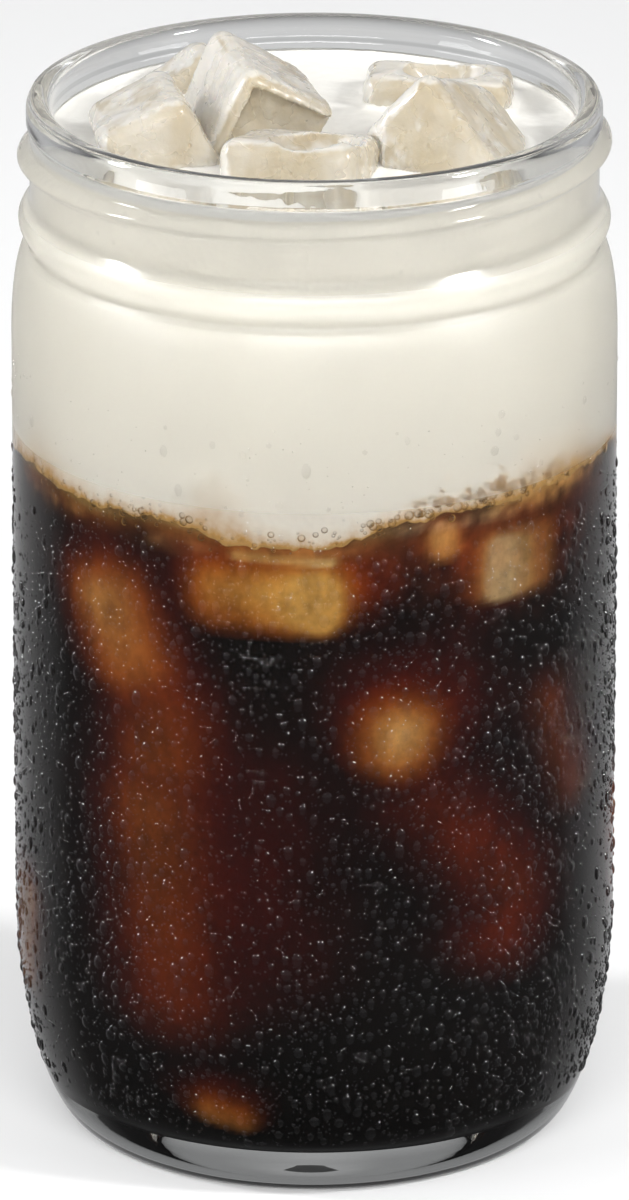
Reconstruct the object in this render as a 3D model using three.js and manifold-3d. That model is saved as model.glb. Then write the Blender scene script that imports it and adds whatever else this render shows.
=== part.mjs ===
// Iced coffee with a thick layer of salted cream, in a clear screw-neck drinking jar.
// Units are millimetres and +Z is up. The origin is the centre of the foot, where the jar stands.
// The front of the drink, where most of the ice shows, faces -Y.

import * as THREE from 'three';
import { RoundedBoxGeometry } from 'three/addons/geometries/RoundedBoxGeometry.js';
import { mergeVertices } from 'three/addons/utils/BufferGeometryUtils.js';
import Module from 'manifold-3d';

// Driving dimensions of the jar's outside
const BODY_RADIUS = 39.5;
const JAR_HEIGHT = 140;
const FOOT_RADIUS = 31.1;
const FOOT_RING_WIDTH = 2.2;
const PUSH_UP = 2.2;
const BASE_CURVE_HEIGHT = 30;
const BASE_CURVE_POWER = 1.86;
const SHOULDER_START = 108.5;
const SHOULDER_END = 120.6;
const SHOULDER_RADIUS = 37.3;
const BEAD_HEIGHT = 124;
const BEAD_RADIUS = 38.5;
const BEAD_HALF_WIDTH = 3.4;
const NECK_RADIUS = 37;
const LIP_START = 136.5;
const LIP_RADIUS = 37.4;

// Screw thread: one raised turn that climbs from the left past the front to the right
const THREAD_MIDDLE = 133.35;
const THREAD_PITCH = 4.1;
const THREAD_HEIGHT = 1.6;
const THREAD_HALF_WIDTH = 1.5;
const THREAD_START = -2.7;
const THREAD_END = 2.3;
const THREAD_FADE = 0.45;

// Driving dimensions of the jar's inside
const MOUTH_RADIUS = 34.2;
const NECK_INNER_RADIUS = 34.5;
const BODY_INNER_RADIUS = 36.5;
const INNER_SHOULDER_TOP = 120.4;
const INNER_SHOULDER_BOTTOM = 107;
const INNER_CURVE_TOP = 27;
const INNER_CURVE_POWER = 2.4;
const FLOOR_RADIUS = 26.5;
const FLOOR_HEIGHT = 6;

// Levels of the drink
const CREAM_TOP = 134.9;
const MENISCUS_RISE = 0.9;
const MENISCUS_WIDTH = 2;
const BOUNDARY_LEVEL = 93.2;
const GAP = 0.3;

// Facets
const SEGMENTS = 56;
const ICE_EDGE_FACETS = 2;

// Cream and coffee meet in a wavy line round the wall: [waves per turn, sine part, cosine part]
const BOUNDARY_WAVES = [
  [1, 1.0, 0],
  [3, 0.5, -1.2],
  [7, 0.1, -0.6],
  [12, -0.1, 0.2],
];

// Ice blocks that stand out of the cream: size, centre and turn in degrees about X, then Y, then Z
const ICE_ROUNDING = 2.2;
const ICE_WAVE = 0.35;
const ICE_WAVELENGTH = 26;
const ICE = [
  { name: 'ice_tall', size: [14, 20, 18], at: [-8.8, -0.7, 135.7], turn: [0, 27, 12], taper: 0 },
  { name: 'ice_front', size: [18, 16.5, 19], at: [-2.2, -20.8, 131.3], turn: [-12, 0, -16], taper: 0 },
  { name: 'ice_right', size: [20, 20.6, 17.6], at: [16.6, -9.5, 131.4], turn: [-30, -47, -5], taper: -0.05 },
  { name: 'ice_left', size: [12.5, 17, 17], at: [-19.5, -8.6, 134.6], turn: [-3, -30, 12], taper: 0 },
  { name: 'ice_back_left', size: [12.5, 9.5, 13], at: [-15.2, 20, 132.4], turn: [0, -32, 14], taper: 0.05 },
  { name: 'ice_back_right', size: [19.4, 11, 17], at: [16.4, 14.4, 130.4], turn: [0, 0, -8], taper: 0 },
];

// Hollows melted into some of the blocks, a bowl or a step: centre and half-size in the block's
// own directions
const HOLLOWS = {
  ice_tall: { at: [2.6, -8.7, -1.2], half: [7.4, 2.7, 8.6], step: true, creamFlowsIn: true },
  ice_front: { at: [2.2, -1.2, 10.6], half: [6.3, 7.2, 4.6], step: false, creamFlowsIn: false },
  ice_back_right: { at: [0.5, 0.5, 9.4], half: [5.6, 4, 5], step: false, creamFlowsIn: false },
};

const wasm = await Module();
wasm.setup();

const DEGREE = Math.PI / 180;
const TURN = 2 * Math.PI;

// Finishes

function finish(color, roughness, extra = {}) {
  return new THREE.MeshStandardMaterial({ color, roughness, metalness: 0, ...extra });
}

const clearGlass = () => finish(0xdfe6e6, 0.05, { transparent: true, opacity: 0.3 });
const coffeeFinish = () => finish(0x1c120d, 0.15);
const creamFinish = () => finish(0xebe5d8, 0.5);
const iceFinish = () => finish(0xdcd2bd, 0.2);

// Helpers between three.js geometry and closed solids

function toSolid(geometry) {
  const bare = geometry.clone();
  bare.deleteAttribute('normal');
  bare.deleteAttribute('uv');
  bare.clearGroups();
  const merged = mergeVertices(bare, 1e-4);
  const mesh = new wasm.Mesh({
    numProp: 3,
    vertProperties: new Float32Array(merged.attributes.position.array),
    triVerts: new Uint32Array(merged.index.array),
  });
  return new wasm.Manifold(mesh);
}

function toGeometry(solid) {
  const mesh = solid.getMesh();
  const geometry = new THREE.BufferGeometry();
  geometry.setAttribute('position', new THREE.BufferAttribute(mesh.vertProperties, 3));
  geometry.setIndex(new THREE.BufferAttribute(mesh.triVerts, 1));
  geometry.computeVertexNormals();
  return geometry;
}

function smoothstep(x, low, high) {
  return THREE.MathUtils.smoothstep(x, low, high);
}

// Turned shapes

// Lathe of [radius, height] rows. shape(angle, row, radius, height) may move a row point: angle 0 is
// the front, a quarter turn is +X, and the seam is at the back.
function turned(rows, shape = (angle, row, radius, height) => [radius, height]) {
  const points = rows.map(([radius, height]) => new THREE.Vector2(radius, height));
  const geometry = new THREE.LatheGeometry(points, SEGMENTS, -Math.PI, TURN);
  const position = geometry.attributes.position;
  for (let i = 0; i < position.count; i += 1) {
    const row = i % rows.length;
    const angle = -Math.PI + (TURN * Math.floor(i / rows.length)) / SEGMENTS;
    const [radius, height] = shape(angle, row, rows[row][0], rows[row][1]);
    position.setXYZ(i, radius * Math.sin(angle), -radius * Math.cos(angle), height);
  }
  return toSolid(geometry);
}

// Rows of a curved corner from (inner radius, low) up to (outer radius, high)
function cornerRows(innerRadius, low, outerRadius, high, power, steps) {
  const rows = [];
  for (let i = 0; i <= steps; i += 1) {
    const t = (i / steps) * (Math.PI / 2);
    const across = Math.sin(t) ** (2 / power);
    const upward = 1 - Math.cos(t) ** (2 / power);
    rows.push([innerRadius + (outerRadius - innerRadius) * across, low + (high - low) * upward]);
  }
  return rows;
}

function shoulderRows() {
  const drop = BODY_RADIUS - SHOULDER_RADIUS;
  const span = SHOULDER_END - SHOULDER_START;
  return [0, 0.45, 0.72, 0.9].map((s) => [
    BODY_RADIUS - drop * (1 - Math.sqrt(1 - s * s)),
    SHOULDER_START + span * s,
  ]);
}

function beadRows() {
  return [-1, -0.6, -0.3, 0, 0.3, 0.6, 1].map((s) => {
    const valley = s < 0 ? SHOULDER_RADIUS : NECK_RADIUS;
    const bulge = Math.cos((s * Math.PI) / 2) ** 2;
    return [valley + (BEAD_RADIUS - valley) * bulge, BEAD_HEIGHT + s * BEAD_HALF_WIDTH];
  });
}

// Rows of the thread, at rest on the neck: [share of the half width, share of the height]
const THREAD_ROWS = [[-1, 0], [-0.6, 0.7], [-0.22, 1], [0.22, 1], [0.6, 0.7], [1, 0]];

function threadRise(angle) {
  const climb = (THREAD_PITCH * Math.min(angle, THREAD_END - THREAD_FADE)) / TURN;
  const fall = smoothstep(angle, THREAD_END, Math.PI);
  return climb * (1 - fall) - (THREAD_PITCH / 2) * fall;
}

function threadShare(angle) {
  const rise = smoothstep(angle, THREAD_START, THREAD_START + THREAD_FADE);
  const fall = smoothstep(angle, THREAD_END - THREAD_FADE, THREAD_END);
  return rise * (1 - fall);
}

function lipRows() {
  return [
    [NECK_RADIUS, LIP_START - 0.25],
    [LIP_RADIUS, LIP_START + 0.35],
    [LIP_RADIUS, JAR_HEIGHT - 1.3],
    [LIP_RADIUS - 0.45, JAR_HEIGHT - 0.4],
    [LIP_RADIUS - 1.4, JAR_HEIGHT],
    [MOUTH_RADIUS + 0.9, JAR_HEIGHT - 0.05],
    [MOUTH_RADIUS + 0.15, JAR_HEIGHT - 0.6],
    [MOUTH_RADIUS, JAR_HEIGHT - 1.6],
  ];
}

// Inner wall from the mouth down to the floor's rim
function innerWallRows() {
  const shoulder = cornerRows(NECK_INNER_RADIUS, INNER_SHOULDER_TOP, BODY_INNER_RADIUS,
    INNER_SHOULDER_BOTTOM, 1.6, 4);
  const corner = cornerRows(FLOOR_RADIUS, FLOOR_HEIGHT, BODY_INNER_RADIUS, INNER_CURVE_TOP,
    INNER_CURVE_POWER, 7);
  return [...shoulder, ...corner.reverse()];
}

function innerRadiusAt(height) {
  const rows = [[MOUTH_RADIUS, JAR_HEIGHT - 1.6], ...innerWallRows()];
  const below = rows.findIndex(([, z]) => z <= height);
  const [lowRadius, low] = rows[below];
  const [highRadius, high] = rows[below - 1];
  return lowRadius + ((highRadius - lowRadius) * (height - low)) / (high - low);
}

function jarSolid() {
  const outside = [
    [0, PUSH_UP],
    [FOOT_RADIUS * 0.6, PUSH_UP * 0.8],
    [FOOT_RADIUS - FOOT_RING_WIDTH - 1, PUSH_UP * 0.35],
    [FOOT_RADIUS - FOOT_RING_WIDTH, 0],
    ...cornerRows(FOOT_RADIUS, 0, BODY_RADIUS, BASE_CURVE_HEIGHT, BASE_CURVE_POWER, 9),
    ...shoulderRows(),
    ...beadRows(),
  ];
  const firstThreadRow = outside.length;
  const thread = THREAD_ROWS.map(([across]) => [
    NECK_RADIUS,
    THREAD_MIDDLE + across * THREAD_HALF_WIDTH,
  ]);
  const rows = [...outside, ...thread, ...lipRows(), ...innerWallRows(), [0, FLOOR_HEIGHT]];
  return turned(rows, (angle, row, radius, height) => {
    const threadRow = THREAD_ROWS[row - firstThreadRow];
    if (!threadRow) return [radius, height];
    const raised = THREAD_HEIGHT * threadRow[1] * threadShare(angle);
    return [radius + raised, height + threadRise(angle)];
  });
}

// The drink

function boundaryHeight(angle) {
  return BOUNDARY_WAVES.reduce(
    (height, [waves, sine, cosine]) =>
      height + sine * Math.sin(waves * angle) + cosine * Math.cos(waves * angle),
    BOUNDARY_LEVEL,
  );
}

// The boundary is wavy at the wall and calms down towards the middle
function boundaryRows(radius) {
  return [0, 0.45, 0.8, 1].map((share) => [radius * share, BOUNDARY_LEVEL]);
}

function boundaryShape(share, angle) {
  const calm = share * share;
  return BOUNDARY_LEVEL + (boundaryHeight(angle) - BOUNDARY_LEVEL) * calm;
}

function coffeeSolid() {
  const wallRadius = BODY_INNER_RADIUS - GAP;
  const corner = cornerRows(FLOOR_RADIUS - GAP, FLOOR_HEIGHT + GAP, wallRadius, INNER_CURVE_TOP,
    INNER_CURVE_POWER, 7);
  const surface = boundaryRows(wallRadius).reverse();
  const rows = [[0, FLOOR_HEIGHT + GAP], ...corner, ...surface];
  const firstSurfaceRow = rows.length - surface.length;
  return turned(rows, (angle, row, radius, height) => {
    if (row < firstSurfaceRow) return [radius, height];
    return [radius, boundaryShape(radius / wallRadius, angle) - GAP];
  });
}

function creamSolid() {
  const wallRadius = BODY_INNER_RADIUS - GAP;
  const underside = boundaryRows(wallRadius);
  const wall = innerWallRows()
    .filter(([, height]) => height >= INNER_SHOULDER_BOTTOM)
    .reverse()
    .map(([radius, height]) => [radius - GAP, height]);
  const edgeHeight = CREAM_TOP + MENISCUS_RISE;
  const edgeRadius = innerRadiusAt(edgeHeight) - GAP;
  const top = [
    [edgeRadius, edgeHeight],
    [edgeRadius - MENISCUS_WIDTH * 0.4, CREAM_TOP + MENISCUS_RISE * 0.3],
    [edgeRadius - MENISCUS_WIDTH, CREAM_TOP],
    [0, CREAM_TOP],
  ];
  return turned([...underside, ...wall, ...top], (angle, row, radius, height) => {
    if (row >= underside.length) return [radius, height];
    return [radius, boundaryShape(radius / wallRadius, angle)];
  });
}

// Ice

// Half-melted block: a rounded box that tapers, with slow waves in its faces
function iceBlock({ size, at, turn, taper }, grow = 0) {
  const [width, depth, height] = size.map((side) => side + 2 * grow);
  const geometry = new RoundedBoxGeometry(width, depth, height, ICE_EDGE_FACETS, ICE_ROUNDING + grow);
  const position = geometry.attributes.position;
  const point = new THREE.Vector3();
  const wave = (x, phase) => ICE_WAVE * Math.sin((TURN * x) / ICE_WAVELENGTH + phase);
  for (let i = 0; i < position.count; i += 1) {
    point.fromBufferAttribute(position, i);
    const narrowing = 1 - (taper * 2 * point.z) / height;
    position.setXYZ(
      i,
      point.x * narrowing + wave(point.y, at[0]),
      point.y * narrowing + wave(point.z, at[1]),
      point.z + wave(point.x, at[2]),
    );
  }
  return toSolid(place(geometry, at, turn));
}

function place(geometry, at, turn) {
  const angles = new THREE.Euler(...turn.map((angle) => angle * DEGREE), 'ZYX');
  const matrix = new THREE.Matrix4().makeRotationFromEuler(angles);
  matrix.setPosition(...at);
  return geometry.applyMatrix4(matrix);
}

function hollowSolid(block, hollow, shrink = 0) {
  const geometry = hollow.step ? new THREE.BoxGeometry(2, 2, 2) : new THREE.SphereGeometry(1, 16, 10);
  geometry.scale(...hollow.half.map((half) => half - shrink));
  geometry.translate(...hollow.at);
  return toSolid(place(geometry, block.at, block.turn));
}

// Each block with its hollow, cut clear of the blocks before it
function iceSolids() {
  const solids = [];
  ICE.forEach((block, index) => {
    let solid = iceBlock(block);
    const hollow = HOLLOWS[block.name];
    if (hollow) solid = solid.subtract(hollowSolid(block, hollow));
    ICE.slice(0, index).forEach((earlier) => {
      solid = solid.subtract(iceBlock(earlier, GAP));
    });
    solids.push(solid);
  });
  return solids;
}

// Room that the cream leaves for a block
function iceRoom(block) {
  const room = iceBlock(block, GAP);
  const hollow = HOLLOWS[block.name];
  if (!hollow || !hollow.creamFlowsIn) return room;
  return room.subtract(hollowSolid(block, hollow, GAP));
}

function creamRoundIce() {
  return ICE.reduce((cream, block) => cream.subtract(iceRoom(block)), creamSolid());
}

// The whole drink

function part(name, solid, material) {
  const mesh = new THREE.Mesh(toGeometry(solid), material);
  mesh.name = name;
  return mesh;
}

const jar = part('jar', jarSolid(), clearGlass());

const drink = new THREE.Group();
drink.add(part('coffee', coffeeSolid(), coffeeFinish()));
drink.add(part('cream', creamRoundIce(), creamFinish()));

const floatingIce = new THREE.Group();
iceSolids().forEach((solid, index) => {
  floatingIce.add(part(ICE[index].name, solid, iceFinish()));
});

const icedCoffee = new THREE.Group();
icedCoffee.add(jar, drink, floatingIce);

export default icedCoffee;
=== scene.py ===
"""Iced salted coffee in a clear screw-neck jar: the looks of every piece, and the studio round it."""

from math import copysign, cos, degrees, exp, hypot, pi, radians, sin, sqrt

import bpy
import numpy as np
from mathutils import Euler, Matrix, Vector, noise
from mathutils.bvhtree import BVHTree


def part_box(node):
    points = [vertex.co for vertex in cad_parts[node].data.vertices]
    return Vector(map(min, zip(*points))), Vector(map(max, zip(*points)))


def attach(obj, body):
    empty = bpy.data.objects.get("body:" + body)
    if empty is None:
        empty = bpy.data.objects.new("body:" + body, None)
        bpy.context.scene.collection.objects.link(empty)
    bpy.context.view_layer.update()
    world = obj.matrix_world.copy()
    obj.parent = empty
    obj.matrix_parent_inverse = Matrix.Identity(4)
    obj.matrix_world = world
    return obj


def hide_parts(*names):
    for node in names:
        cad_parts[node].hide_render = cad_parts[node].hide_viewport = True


bl_info = {
    "name": "Iced salted coffee",
    "version": (1, 0, 0),
    "blender": (4, 5, 0),
    "location": "3D View > Sidebar > Iced coffee",
    "description": "Dresses the jar, the coffee, the cream and the ice, and sets the studio",
    "category": "Object",
}

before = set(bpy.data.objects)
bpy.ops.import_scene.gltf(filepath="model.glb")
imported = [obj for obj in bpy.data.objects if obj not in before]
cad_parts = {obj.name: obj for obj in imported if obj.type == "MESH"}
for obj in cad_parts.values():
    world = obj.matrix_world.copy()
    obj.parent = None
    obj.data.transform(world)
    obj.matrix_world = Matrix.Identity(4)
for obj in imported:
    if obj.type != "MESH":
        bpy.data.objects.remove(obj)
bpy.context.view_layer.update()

MM = 0.001
TURN = 2 * pi
BODY = "root"

JAR_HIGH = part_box("jar")[1]
CREAM_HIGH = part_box("cream")[1]
COFFEE_LOW, COFFEE_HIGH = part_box("coffee")

# Room that the solids leave between the drink and the glass, in millimetres
SOLID_GAP = 0.3
BODY_RADIUS = JAR_HIGH[0] / MM
JAR_HEIGHT = JAR_HIGH[2] / MM
INNER_RADIUS = COFFEE_HIGH[0] / MM + SOLID_GAP

# How far the drink reaches into the wall, so that no air gap shows
WALL_OVERLAP = 0.15

# Outline of the jar in millimetres, as its solid has it
FOOT_RADIUS = 31.1
FOOT_RING_WIDTH = 2.2
PUSH_UP = 2.2
BASE_CURVE_HEIGHT = 30.0
BASE_CURVE_POWER = 1.86
SHOULDER_START = 108.5
SHOULDER_END = 120.6
SHOULDER_RADIUS = 37.3
SHOULDER_ARC = 0.97
BEAD_HEIGHT = 124.0
BEAD_RADIUS = 38.5
BEAD_HALF_WIDTH = 3.4
NECK_RADIUS = 37.0
LIP_START = 136.5
LIP_RADIUS = 37.4
LIP_CORNER = 1.5
LIP_POWER = 0.8
THREAD_MIDDLE = 133.35
THREAD_PITCH = 4.1
THREAD_HEIGHT = 1.6
THREAD_HALF_WIDTH = 1.5
THREAD_START = -2.7
THREAD_END = 2.3
THREAD_FADE = 0.45
THREAD_ROW_STEP = 0.22
MOUTH_RADIUS = 34.2
NECK_INNER_RADIUS = 34.5
INNER_SHOULDER_TOP = 120.4
INNER_SHOULDER_BOTTOM = 107.0
INNER_SHOULDER_POWER = 1.6
INNER_CURVE_TOP = 27.0
INNER_CURVE_POWER = 2.4
FLOOR_RADIUS = 26.5
FLOOR_HEIGHT = COFFEE_LOW[2] / MM - SOLID_GAP

# Levels of the drink in millimetres
MENISCUS_RISE = 0.9
CREAM_TOP = CREAM_HIGH[2] / MM - MENISCUS_RISE
BOUNDARY_LEVEL = 93.2
BOUNDARY_WAVES = ((1, 1.0, 0.0), (3, 0.5, -1.2), (7, 0.1, -0.6), (12, -0.1, 0.2))
# How far above the line its waves have died away
BOUNDARY_REACH = 12

# Small uneven steps of the cream's lower edge: how fast they follow, and height
RAGGED_STEPS = ((5.0, 1.1), (17.0, 0.7), (45.0, 0.5))
RAGGED_SIZE = 0.8

# Levels between which the glass turns from grey to clear, grows dewy and is smooth again
GREY_FOOT = (5.0, 8.0)
DEW_STARTS = (90.0, 100.0)
DEW_ENDS = (124.0, 128.0)

GLASS_IOR = 1.5
ICE_IOR = 1.31
WELD = 1e-6

FLOATING_ICE = ("ice_tall", "ice_front", "ice_right", "ice_left", "ice_back_left", "ice_back_right")

# Foam that climbs into the cream: least height, and angle, height and half width of the stains
STAIN_LEAST = 0.9
STAINS = ((-19, 2.2, 7), (-66, 1.2, 12), (51, 1.6, 12), (64, 1.2, 7), (110, 1.5, 10), (-140, 1.2, 9))

# Ice sunk in the coffee: angle round the jar and height of its middle, depth of its outer face
# behind the glass, size, lean, roll and yaw in degrees, and the rounding of its edges. Last comes
# the tint of the painted light that comes back from it through the coffee, for red, green and blue
SUNK_ICE = (
    ("gold", -8.0, 84.2, 0.35, (19.3, 14, 10), (13, 1, -13), 3.8, (1.15, 1.1, 0.62)),
    ("gold_crest", -6, 89.2, 0.5, (13, 4, 1.1), (0, 2.5, -4), 0.5, (1, 1.1, 1)),
    ("upper_left", -42.5, 76.0, 2.0, (12.5, 13, 19), (4, -22, 6), 5.0, (1.25, 1.5, 1.75)),
    ("middle_left", -32, 62.4, 4.4, (12, 13, 17), (-6, 4, 8), 5.0, (1.1, 1.6, 2.3)),
    ("lower_left", -32, 38.8, 4.7, (12, 14, 38), (3, -6, 8), 5.0, (1.1, 1.6, 2.3)),
    ("foot_left", -20, 11.6, 1.8, (7.5, 8, 3.8), (10, 14, 10), 1.6, (1.1, 1.1, 0.8)),
    ("middle", -15.5, 43, 8.6, (15, 13, 38), (0, -3, 0), 6.0, (0.85, 1, 1.3)),
    ("bright", 17, 63.8, 0.6, (10.8, 11, 12.6), (14, 8, 0), 5.2, (1.35, 1.4, 1.3)),
    ("bright_halo", 20, 66.5, 6.2, (14, 12, 15), (10, -14, 0), 5.5, (1, 1, 1)),
    ("right", 33.5, 46.5, 6.0, (10, 12, 27), (-4, -30, 4), 4.6, (1, 1.3, 1.6)),
    ("right_foot", 40, 33.2, 5.4, (11, 11, 10), (10, 30, 0), 4.5, (1, 1, 1)),
    ("upper_right", 41.8, 85.2, 0.15, (11.2, 11, 9.0), (0, 3, 27), 1.6, (0.78, 0.97, 1.15)),
    ("under_cream", 26.0, 90.2, 0.8, (4.2, 6, 4.8), (6, -14, 4), 1.6, (1.2, 1.3, 1.2)),
    ("far_right", 57, 57, 4.4, (6, 10, 20), (0, -18, 4), 2.6, (0.6, 0.8, 1.1)),
    ("far_left", -78, 27, 1.8, (8, 10, 17), (4, 6, 6), 3.0, (0.5, 0.6, 0.8)),
    ("back_left", -140, 70, 2.0, (14, 14, 20), (6, 12, 20), 5.0, (1, 1, 1)),
    ("back", 175, 48, 1.4, (16, 14, 16), (30, 25, 10), 4.5, (1, 1, 1)),
    ("back_right", 128, 80, 1.0, (15, 13, 13), (4, 6, 10), 3.5, (1, 1, 1)),
    ("low_back", 150, 22, 4.0, (14, 14, 18), (10, 14, 24), 5.0, (1, 1, 1)),
    ("side_right", 96, 36, 3.0, (13, 13, 22), (8, -12, 16), 5.0, (1, 1, 1)),
    ("side_left", -108, 46, 3.4, (14, 13, 18), (-8, 10, 12), 5.0, (1, 1, 1)),
)

# Foam just under the line, with the painted light it sends back through thin coffee: angle and
# height of the middle, half width in degrees, half height in millimetres, and colour
FOAM = (
    (50, 94.4, 10, 1.5, (0.36, 0.19, 0.06)),
    (63, 95.0, 8, 1.3, (0.30, 0.15, 0.05)),
    (24, 92.9, 6, 0.7, (0.36, 0.27, 0.15)),
    (38, 93.2, 5, 0.8, (0.30, 0.20, 0.09)),
    (0, 91.0, 9, 1.2, (0.24, 0.11, 0.03)),
    (-28, 90.4, 7, 1.1, (0.14, 0.075, 0.025)),
    (-60, 91.2, 14, 1.0, (0.12, 0.065, 0.02)),
    (24, 90.0, 12, 6.0, (0.055, 0.011, 0.003)),
    (50, 87.0, 14, 6.0, (0.055, 0.011, 0.003)),
    (110, 93.0, 16, 1.4, (0.24, 0.12, 0.04)),
    (-120, 92.0, 20, 1.3, (0.20, 0.10, 0.03)),
    (170, 93.0, 18, 1.4, (0.22, 0.11, 0.035)),
)


def smoothstep(x, low, high):
    t = np.clip((x - low) / (high - low), 0.0, 1.0)
    return t * t * (3 - 2 * t)


def scaled(colour, share):
    return tuple(share * c for c in colour)


def facing_out(angle):
    """Level direction away from the jar's axis, at an angle from the front."""
    return Vector((sin(angle), -cos(angle), 0))


# Outlines, in millimetres


def corner_rows(inner_radius, low, outer_radius, high, power, steps):
    """Rows of a curved corner from (inner radius, low) up to (outer radius, high)."""
    rows = []
    for i in range(steps + 1):
        t = i / steps * pi / 2
        across = sin(t) ** (2 / power)
        upward = 1 - max(cos(t), 0.0) ** (2 / power)
        radius = inner_radius + (outer_radius - inner_radius) * across
        rows.append((radius, low + (high - low) * upward))
    return rows


def shoulder_rows(steps):
    drop = BODY_RADIUS - SHOULDER_RADIUS
    span = SHOULDER_END - SHOULDER_START
    rows = []
    for i in range(steps):
        s = SHOULDER_ARC * sin(i / steps * pi / 2)
        radius = BODY_RADIUS - drop * (1 - sqrt(1 - s * s))
        rows.append((radius, SHOULDER_START + span * s))
    return rows


def bead_rows(steps):
    rows = []
    for i in range(steps + 1):
        s = 2 * i / steps - 1
        valley = SHOULDER_RADIUS if s < 0 else NECK_RADIUS
        bulge = cos(s * pi / 2) ** 2
        rows.append((valley + (BEAD_RADIUS - valley) * bulge, BEAD_HEIGHT + s * BEAD_HALF_WIDTH))
    return rows


def lip_rows(steps):
    """The lip's outer wall, its rounded top and the inner edge of the mouth."""
    rows = [(NECK_RADIUS, LIP_START - 0.3), (NECK_RADIUS + 0.12, LIP_START - 0.1)]
    rows += [(LIP_RADIUS - 0.1, LIP_START + 0.2), (LIP_RADIUS, LIP_START + 0.45)]
    middle = (LIP_RADIUS + MOUTH_RADIUS) / 2
    half = (LIP_RADIUS - MOUTH_RADIUS) / 2
    for i in range(steps + 1):
        a = i / steps * pi
        across = copysign(abs(cos(a)) ** LIP_POWER, cos(a))
        upward = sin(a) ** LIP_POWER if 0 < i < steps else 0.0
        rows.append((middle + half * across, JAR_HEIGHT - LIP_CORNER * (1 - upward)))
    return rows


def inner_wall_rows(steps):
    """The inner wall from the mouth down to the floor's rim."""
    top = (NECK_INNER_RADIUS, INNER_SHOULDER_TOP)
    bottom = (INNER_RADIUS, INNER_SHOULDER_BOTTOM)
    shoulder = corner_rows(*top, *bottom, INNER_SHOULDER_POWER, steps)
    low = (FLOOR_RADIUS, FLOOR_HEIGHT)
    corner = corner_rows(*low, INNER_RADIUS, INNER_CURVE_TOP, INNER_CURVE_POWER, steps * 2)
    return shoulder + corner[::-1]


def outer_rows():
    """The jar's outside from the foot up to where the thread starts."""
    rows = corner_rows(FOOT_RADIUS, 0, BODY_RADIUS, BASE_CURVE_HEIGHT, BASE_CURVE_POWER, 28)
    straight = np.linspace(BASE_CURVE_HEIGHT, SHOULDER_START, 12)[1:-1]
    rows += [(BODY_RADIUS, z) for z in straight]
    return rows + shoulder_rows(12) + bead_rows(22)


def jar_section():
    inner_foot = FOOT_RADIUS - FOOT_RING_WIDTH
    rows = [(0, PUSH_UP), (FOOT_RADIUS * 0.6, PUSH_UP * 0.8), (inner_foot - 1, PUSH_UP * 0.35)]
    rows += [(inner_foot, 0.03), (inner_foot + 0.3, 0.0)]
    rows += outer_rows()
    low = BEAD_HEIGHT + BEAD_HALF_WIDTH + 0.5
    high = LIP_START - 0.5
    rows += [(NECK_RADIUS, z) for z in np.arange(low, high, THREAD_ROW_STEP)]
    return rows + lip_rows(14) + inner_wall_rows(10) + [(0, FLOOR_HEIGHT)]


def radius_finder(rows):
    """Function that gives the radius at any height, from rows that climb or fall steadily."""
    heights, radii = zip(*sorted((z, r) for r, z in rows))
    return lambda height: np.interp(height, heights, radii)


def boundary_height(angle):
    """Height at the wall of the line where cream meets coffee."""
    height = np.full_like(angle, BOUNDARY_LEVEL)
    for waves, sine, cosine in BOUNDARY_WAVES:
        height = height + sine * np.sin(waves * angle) + cosine * np.cos(waves * angle)
    return height


def stain_height(angle):
    """How far the golden foam reaches up into the cream at each angle."""
    reach = np.full_like(angle, STAIN_LEAST)
    for middle, height, width in STAINS:
        away = np.degrees(angle) - middle
        reach = reach + height * np.exp(-((away / width) ** 2))
    return reach


def ragged(angle):
    """Small uneven steps along that line, where the foam frays."""
    steps = np.empty_like(angle)
    for i, a in enumerate(angle):
        at = Vector((sin(a), cos(a), 0.3))
        steps[i] = sum(noise.noise(at * pace) * height for pace, height in RAGGED_STEPS)
    return steps * RAGGED_SIZE


# Modelling helpers


def mode(name):
    bpy.ops.object.mode_set(mode=name)


def added(name, data):
    """A new object in the scene."""
    made = bpy.data.objects.new(name, data)
    bpy.context.scene.collection.objects.link(made)
    return made


def only(piece):
    bpy.ops.object.select_all(action="DESELECT")
    bpy.context.view_layer.objects.active = piece
    piece.select_set(True)


def spun(name, section, steps):
    """Piece of revolution: a line of points is laid along the section and spun round the axis."""
    bpy.ops.mesh.primitive_circle_add(vertices=len(section), radius=0.01, fill_type="NOTHING")
    piece = bpy.context.active_object
    piece.name = name
    for vertex, (radius, height) in zip(piece.data.vertices, section):
        vertex.co = (radius * MM, 0.0, height * MM)
    piece.data.update()
    mode("EDIT")
    bpy.ops.mesh.select_mode(type="EDGE")
    bpy.ops.mesh.select_all(action="DESELECT")
    mode("OBJECT")
    ends = {0, len(section) - 1}
    for edge in piece.data.edges:
        edge.select = set(edge.vertices) == ends
    mode("EDIT")
    bpy.ops.mesh.delete(type="EDGE")
    bpy.ops.mesh.select_all(action="SELECT")
    bpy.ops.mesh.spin(steps=steps, angle=TURN, center=(0, 0, 0), axis=(0, 0, 1))
    bpy.ops.mesh.select_all(action="SELECT")
    bpy.ops.mesh.remove_doubles(threshold=2 * WELD)
    bpy.ops.mesh.normals_make_consistent(inside=False)
    mode("OBJECT")
    bpy.ops.object.shade_smooth()
    return piece


def points(piece):
    """The piece's points in millimetres."""
    flat = np.empty(len(piece.data.vertices) * 3)
    piece.data.vertices.foreach_get("co", flat)
    return flat.reshape(-1, 3) / MM


def set_points(piece, places):
    piece.data.vertices.foreach_set("co", (places * MM).ravel())
    piece.data.update()


def polar(at):
    """Angle from the front and distance from the axis of many points."""
    return np.arctan2(at[:, 0], -at[:, 1]), np.hypot(at[:, 0], at[:, 1])


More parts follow.
